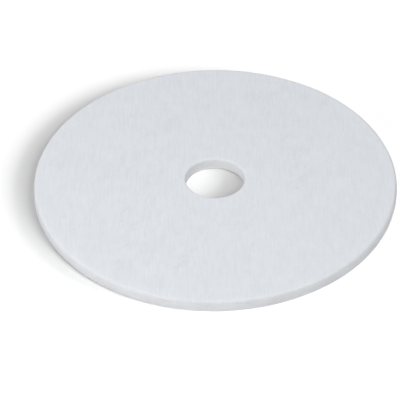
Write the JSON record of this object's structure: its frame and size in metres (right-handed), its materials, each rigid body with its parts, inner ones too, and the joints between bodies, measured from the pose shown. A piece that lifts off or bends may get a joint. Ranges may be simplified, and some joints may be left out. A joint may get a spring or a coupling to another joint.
{
  "type": "felt polishing pad",
  "caption": "Flat round white polishing pad of bonded felt-like fibre, the same on both faces, with softly rounded edges and a round centre hole.",
  "frame": {"origin": "on the hole's axis, at the pad's lower face, which the pad lies on", "axes": "+Z along the hole's axis, out of the upper working face"},
  "size_m": [0.5079, 0.508, 0.0185],
  "materials": {
    "face_felt": "matte bonded fibre felt",
    "core_felt": "matte open fibre web"
  },
  "bodies": {
    "root": {"lower_face": "face_felt", "core": "core_felt", "upper_face": "face_felt"}
  },
  "joints": []
}
